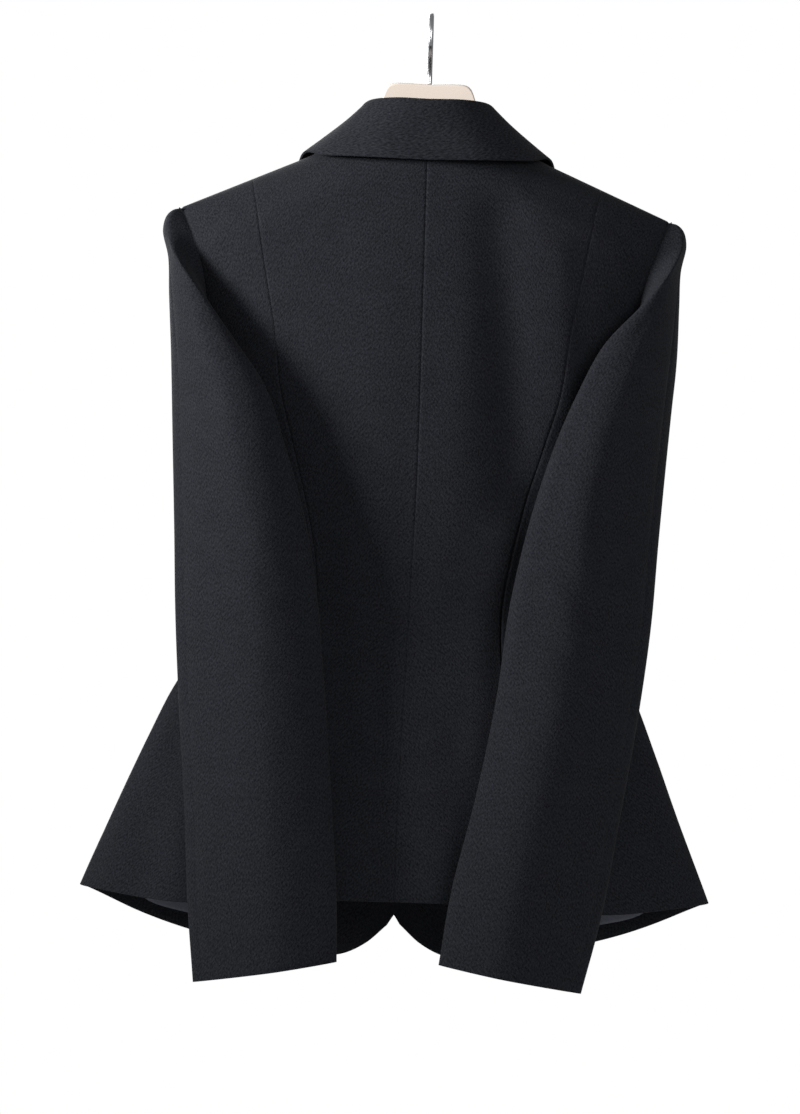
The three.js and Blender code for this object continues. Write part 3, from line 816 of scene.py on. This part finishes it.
def makeHanger():
    reach = hanger["reach"]
    upper = byLength(line((0, -16), (28, -16), (32, -13.5), (36, -4), (41, 12), (49, 25), (60, hangerTop(60) + 1),
                          (80, hangerTop(80)), (120, hangerTop(120)), (reach, hangerTop(reach)), (reach + 5, 88)))
    lower = byLength(line((0, 44), (30, 44), (70, 56), (120, 76), (reach - 3, 97), (reach + 4, 95)))
    bm = bmesh.new()
    bmesh.ops.create_grid(bm, x_segments=180, y_segments=1, size=0.5)
    for vert in bm.verts:
        across = vert.co.x * 2
        edge = upper if vert.co.y > 0 else lower
        p = edge(abs(across))
        vert.co = Vector((math.copysign(p.x, across), 0.0, -hookToCollar - p.y)) * mm
    for f in bm.faces:
        f.smooth = True
    mesh = bpy.data.meshes.new("hangerBody")
    bm.to_mesh(mesh)
    bm.free()
    piece = bpy.data.objects.new("hanger_body", mesh)
    bpy.context.scene.collection.objects.link(piece)
    shell = piece.modifiers.new("thickness", "SOLIDIFY")
    shell.thickness = hanger["thick"] * mm
    shell.offset = 0.0
    soften = piece.modifiers.new("edges", "BEVEL")
    soften.width = hanger["edgeRound"] * mm
    soften.segments = 5
    soften.limit_method = "ANGLE"
    soften.angle_limit = math.radians(60)
    soften.harden_normals = True
    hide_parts("hanger_body")
    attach(piece, "root")
    return piece


def makeHook():
    centre = hanger["railRadius"] + hanger["wireRadius"]
    foot = -hookToCollar - hanger["humpDrop"] + 0.3
    path = [Vector((0, 0, foot)), Vector((0, 0, foot + 8)), Vector((0, 6, foot + 20))]
    for k in range(12):
        turn = math.radians(-25 + (hanger["mouth"] + 25) * k / 11)
        path.append(Vector((0, centre * math.cos(turn), centre * math.sin(turn) - hanger["railRadius"])))
    steps = 120
    wire = bpy.data.curves.new("hookWire", "CURVE")
    wire.dimensions = "3D"
    wire.bevel_depth = hanger["wireRadius"] * mm
    wire.bevel_resolution = 4
    wire.use_fill_caps = True
    run = wire.splines.new("POLY")
    run.points.add(steps)
    for k, point in enumerate(run.points):
        point.co = (*(curvePoint(path, k / steps) * mm), 1.0)
        point.radius = min(1.0, 0.55 + 0.15 * (steps - k))
    holder = bpy.data.objects.new("hookWire", wire)
    bpy.context.scene.collection.objects.link(holder)
    bpy.context.view_layer.update()
    mesh = bpy.data.meshes.new_from_object(holder)
    bpy.data.objects.remove(holder)
    bm = bmesh.new()
    bm.from_mesh(mesh)
    bmesh.ops.remove_doubles(bm, verts=bm.verts, dist=0.00001)
    bmesh.ops.recalc_face_normals(bm, faces=bm.faces)
    for f in bm.faces:
        f.smooth = len(f.verts) == 4
    bm.to_mesh(mesh)
    bm.free()
    piece = bpy.data.objects.new("hanger_hook", mesh)
    bpy.context.scene.collection.objects.link(piece)
    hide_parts("hanger_hook")
    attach(piece, "root")
    return piece


pieces["hanger_body"] = makeHanger()
pieces["hanger_hook"] = makeHook()
print("button and hanger made")


# Materials

looks = {
    "suiting": {"light": (0.0185, 0.0200, 0.0250), "dark": (0.0040, 0.0044, 0.0060), "thread": 0.0013, "twill": 0.0021,
                "roughness": 0.86, "sheen": 0.03, "specular": 0.08, "bump": 0.35},
    "lining": {"light": (0.105, 0.110, 0.140), "dark": (0.075, 0.080, 0.104), "thread": 0.0016, "twill": 0.0012,
               "roughness": 0.48, "sheen": 0.04, "specular": 0.3, "bump": 0.08},
    "wood": {"light": (0.62, 0.54, 0.47), "dark": (0.55, 0.475, 0.41), "size": 0.03, "roughness": 0.42},
    "button": {"light": (0.026, 0.026, 0.029), "dark": (0.012, 0.012, 0.014), "size": 0.004, "roughness": 0.36},
    # the hole colour below is painted shade: near-black standing for the shaded openings over the black cloth behind
    # them
    "paintedHoleShade": {"light": (0.003, 0.003, 0.003), "dark": (0.001, 0.001, 0.001), "size": 0.002, "roughness": 0.9},
    "steel": {"light": (0.66, 0.67, 0.69), "dark": (0.50, 0.51, 0.53), "size": 0.0012, "roughness": 0.3},
}


def addNode(tree, kind, **values):
    node = tree.nodes.new(kind)
    for key, value in values.items():
        setattr(node, key, value)
    return node


def link(tree, start, end):
    tree.links.new(start, end)


def math2(tree, operation, first, second):
    node = addNode(tree, "ShaderNodeMath", operation=operation)
    for socket, value in ((node.inputs[0], first), (node.inputs[1], second)):
        if isinstance(value, (int, float)):
            socket.default_value = value
        else:
            link(tree, value, socket)
    return node.outputs[0]


def makeWeave():
    tree = bpy.data.node_groups.new("heatheredTwill", "ShaderNodeTree")
    face = tree.interface
    face.new_socket("Vector", in_out="INPUT", socket_type="NodeSocketVector")
    face.new_socket("Light", in_out="INPUT", socket_type="NodeSocketColor")
    face.new_socket("Dark", in_out="INPUT", socket_type="NodeSocketColor")
    face.new_socket("Thread Size", in_out="INPUT", socket_type="NodeSocketFloat")
    face.new_socket("Twill Step", in_out="INPUT", socket_type="NodeSocketFloat")
    face.new_socket("Colour", in_out="OUTPUT", socket_type="NodeSocketColor")
    face.new_socket("Height", in_out="OUTPUT", socket_type="NodeSocketFloat")
    given = addNode(tree, "NodeGroupInput")
    made = addNode(tree, "NodeGroupOutput")
    fleck = addNode(tree, "ShaderNodeTexNoise")
    fleck.inputs["Detail"].default_value = 3.0
    fleck.inputs["Roughness"].default_value = 0.62
    stretch = addNode(tree, "ShaderNodeMapping")
    stretch.inputs["Scale"].default_value = (1.0, 0.62, 1.0)
    stretch.inputs["Rotation"].default_value = (0.0, 0.0, math.radians(24))
    link(tree, given.outputs["Vector"], stretch.inputs["Vector"])
    link(tree, stretch.outputs["Vector"], fleck.inputs["Vector"])
    link(tree, math2(tree, "DIVIDE", 1.0, given.outputs["Thread Size"]), fleck.inputs["Scale"])
    cloud = addNode(tree, "ShaderNodeTexNoise")
    cloud.inputs["Scale"].default_value = 55.0
    cloud.inputs["Detail"].default_value = 2.0
    link(tree, given.outputs["Vector"], cloud.inputs["Vector"])
    rib = addNode(tree, "ShaderNodeTexWave", wave_type="BANDS", bands_direction="DIAGONAL")
    rib.inputs["Distortion"].default_value = 0.4
    rib.inputs["Detail Scale"].default_value = 2.0
    link(tree, given.outputs["Vector"], rib.inputs["Vector"])
    link(tree, math2(tree, "DIVIDE", 0.444, given.outputs["Twill Step"]), rib.inputs["Scale"])
    fleckPart = math2(tree, "MULTIPLY", math2(tree, "SUBTRACT", fleck.outputs["Fac"], 0.5), 2.9)
    ribPart = math2(tree, "MULTIPLY", math2(tree, "SUBTRACT", rib.outputs["Fac"], 0.5), 0.16)
    cloudPart = math2(tree, "MULTIPLY", math2(tree, "SUBTRACT", cloud.outputs["Fac"], 0.5), 0.3)
    total = math2(tree, "ADD", math2(tree, "ADD", fleckPart, ribPart), math2(tree, "ADD", cloudPart, 0.45))
    mix = addNode(tree, "ShaderNodeMix", data_type="RGBA")
    link(tree, total, mix.inputs["Factor"])
    link(tree, given.outputs["Dark"], mix.inputs[6])
    link(tree, given.outputs["Light"], mix.inputs[7])
    link(tree, mix.outputs[2], made.inputs["Colour"])
    link(tree, total, made.inputs["Height"])
    return tree


def makeMottle():
    tree = bpy.data.node_groups.new("softMottle", "ShaderNodeTree")
    face = tree.interface
    face.new_socket("Vector", in_out="INPUT", socket_type="NodeSocketVector")
    face.new_socket("Light", in_out="INPUT", socket_type="NodeSocketColor")
    face.new_socket("Dark", in_out="INPUT", socket_type="NodeSocketColor")
    face.new_socket("Size", in_out="INPUT", socket_type="NodeSocketFloat")
    face.new_socket("Middle Roughness", in_out="INPUT", socket_type="NodeSocketFloat")
    face.new_socket("Colour", in_out="OUTPUT", socket_type="NodeSocketColor")
    face.new_socket("Roughness", in_out="OUTPUT", socket_type="NodeSocketFloat")
    given = addNode(tree, "NodeGroupInput")
    made = addNode(tree, "NodeGroupOutput")
    cloud = addNode(tree, "ShaderNodeTexNoise")
    cloud.inputs["Detail"].default_value = 4.0
    link(tree, given.outputs["Vector"], cloud.inputs["Vector"])
    link(tree, math2(tree, "DIVIDE", 1.0, given.outputs["Size"]), cloud.inputs["Scale"])
    mix = addNode(tree, "ShaderNodeMix", data_type="RGBA")
    link(tree, cloud.outputs["Fac"], mix.inputs["Factor"])
    link(tree, given.outputs["Dark"], mix.inputs[6])
    link(tree, given.outputs["Light"], mix.inputs[7])
    spreadPart = math2(tree, "MULTIPLY", math2(tree, "SUBTRACT", cloud.outputs["Fac"], 0.5), 0.18)
    link(tree, mix.outputs[2], made.inputs["Colour"])
    link(tree, math2(tree, "ADD", given.outputs["Middle Roughness"], spreadPart), made.inputs["Roughness"])
    return tree


weave = makeWeave()
mottle = makeMottle()


def useGroup(name, group, vector, values):
    material = bpy.data.materials.new(name)
    material.use_nodes = True
    tree = material.node_tree
    shader = tree.nodes["Principled BSDF"]
    effect = addNode(tree, "ShaderNodeGroup", node_tree=group)
    link(tree, vector(tree), effect.inputs["Vector"])
    for key, value in values.items():
        effect.inputs[key].default_value = value
    link(tree, effect.outputs["Colour"], shader.inputs["Base Color"])
    return material, tree, shader, effect


def clothVector(tree):
    return addNode(tree, "ShaderNodeUVMap", uv_map="cloth").outputs["UV"]


def objectVector(tree):
    return addNode(tree, "ShaderNodeTexCoord").outputs["Object"]


def clothMaterial(name):
    look = looks[name]
    values = {"Light": (*look["light"], 1.0), "Dark": (*look["dark"], 1.0), "Thread Size": look["thread"],
              "Twill Step": look["twill"]}
    material, tree, shader, effect = useGroup(name, weave, clothVector, values)
    shader.inputs["Roughness"].default_value = look["roughness"]
    shader.inputs["Sheen Weight"].default_value = look["sheen"]
    shader.inputs["Sheen Roughness"].default_value = 0.45
    shader.inputs["Specular IOR Level"].default_value = look["specular"]
    bump = addNode(tree, "ShaderNodeBump")
    bump.inputs["Strength"].default_value = look["bump"]
    bump.inputs["Distance"].default_value = 0.0004
    link(tree, effect.outputs["Height"], bump.inputs["Height"])
    link(tree, bump.outputs["Normal"], shader.inputs["Normal"])
    return material


def hardMaterial(name, metal=0.0):
    look = looks[name]
    values = {"Light": (*look["light"], 1.0), "Dark": (*look["dark"], 1.0), "Size": look["size"],
              "Middle Roughness": look["roughness"]}
    material, tree, shader, effect = useGroup(name, mottle, objectVector, values)
    link(tree, effect.outputs["Roughness"], shader.inputs["Roughness"])
    shader.inputs["Metallic"].default_value = metal
    return material


materials = {
    "suiting": clothMaterial("suiting"),
    "lining": clothMaterial("lining"),
    "wood": hardMaterial("wood"),
    "button": hardMaterial("button"),
    "steel": hardMaterial("steel", 1.0),
    "paintedHoleShade": hardMaterial("paintedHoleShade"),
}
for name, piece in pieces.items():
    hard = {"button": "button", "hanger_body": "wood", "hanger_hook": "steel"}
    slot = hard.get(name, "lining" if name.startswith("lining") else "suiting")
    piece.data.materials.append(materials[slot])
# second slot: the painted-shade colour of the hole discs
pieces["button"].data.materials.append(materials["paintedHoleShade"])
print("materials made")


# Cloth: what each piece was cut to, in metres; the loop below only looks each piece's cut up

cuts = {
    "back": {"flat": (0.161, 0.612), "area": 0.0595},
    "side_back": {"flat": (0.157, 0.581), "area": 0.0546},
    "front": {"flat": (0.281, 0.658), "area": 0.1185},
    "sleeve_upper": {"flat": (0.226, 0.628), "area": 0.1007},
    "sleeve_under": {"flat": (0.104, 0.620), "area": 0.0410},
    "lapel": {"flat": (0.074, 0.330), "area": 0.0184},
    "lining": {"flat": (0.128, 0.072), "area": 0.0074},
    "collar": {"flat": (0.337, 0.096), "area": 0.0268},
}
for name, piece in pieces.items():
    cut = cuts.get(name.removesuffix("_left").removesuffix("_right"))
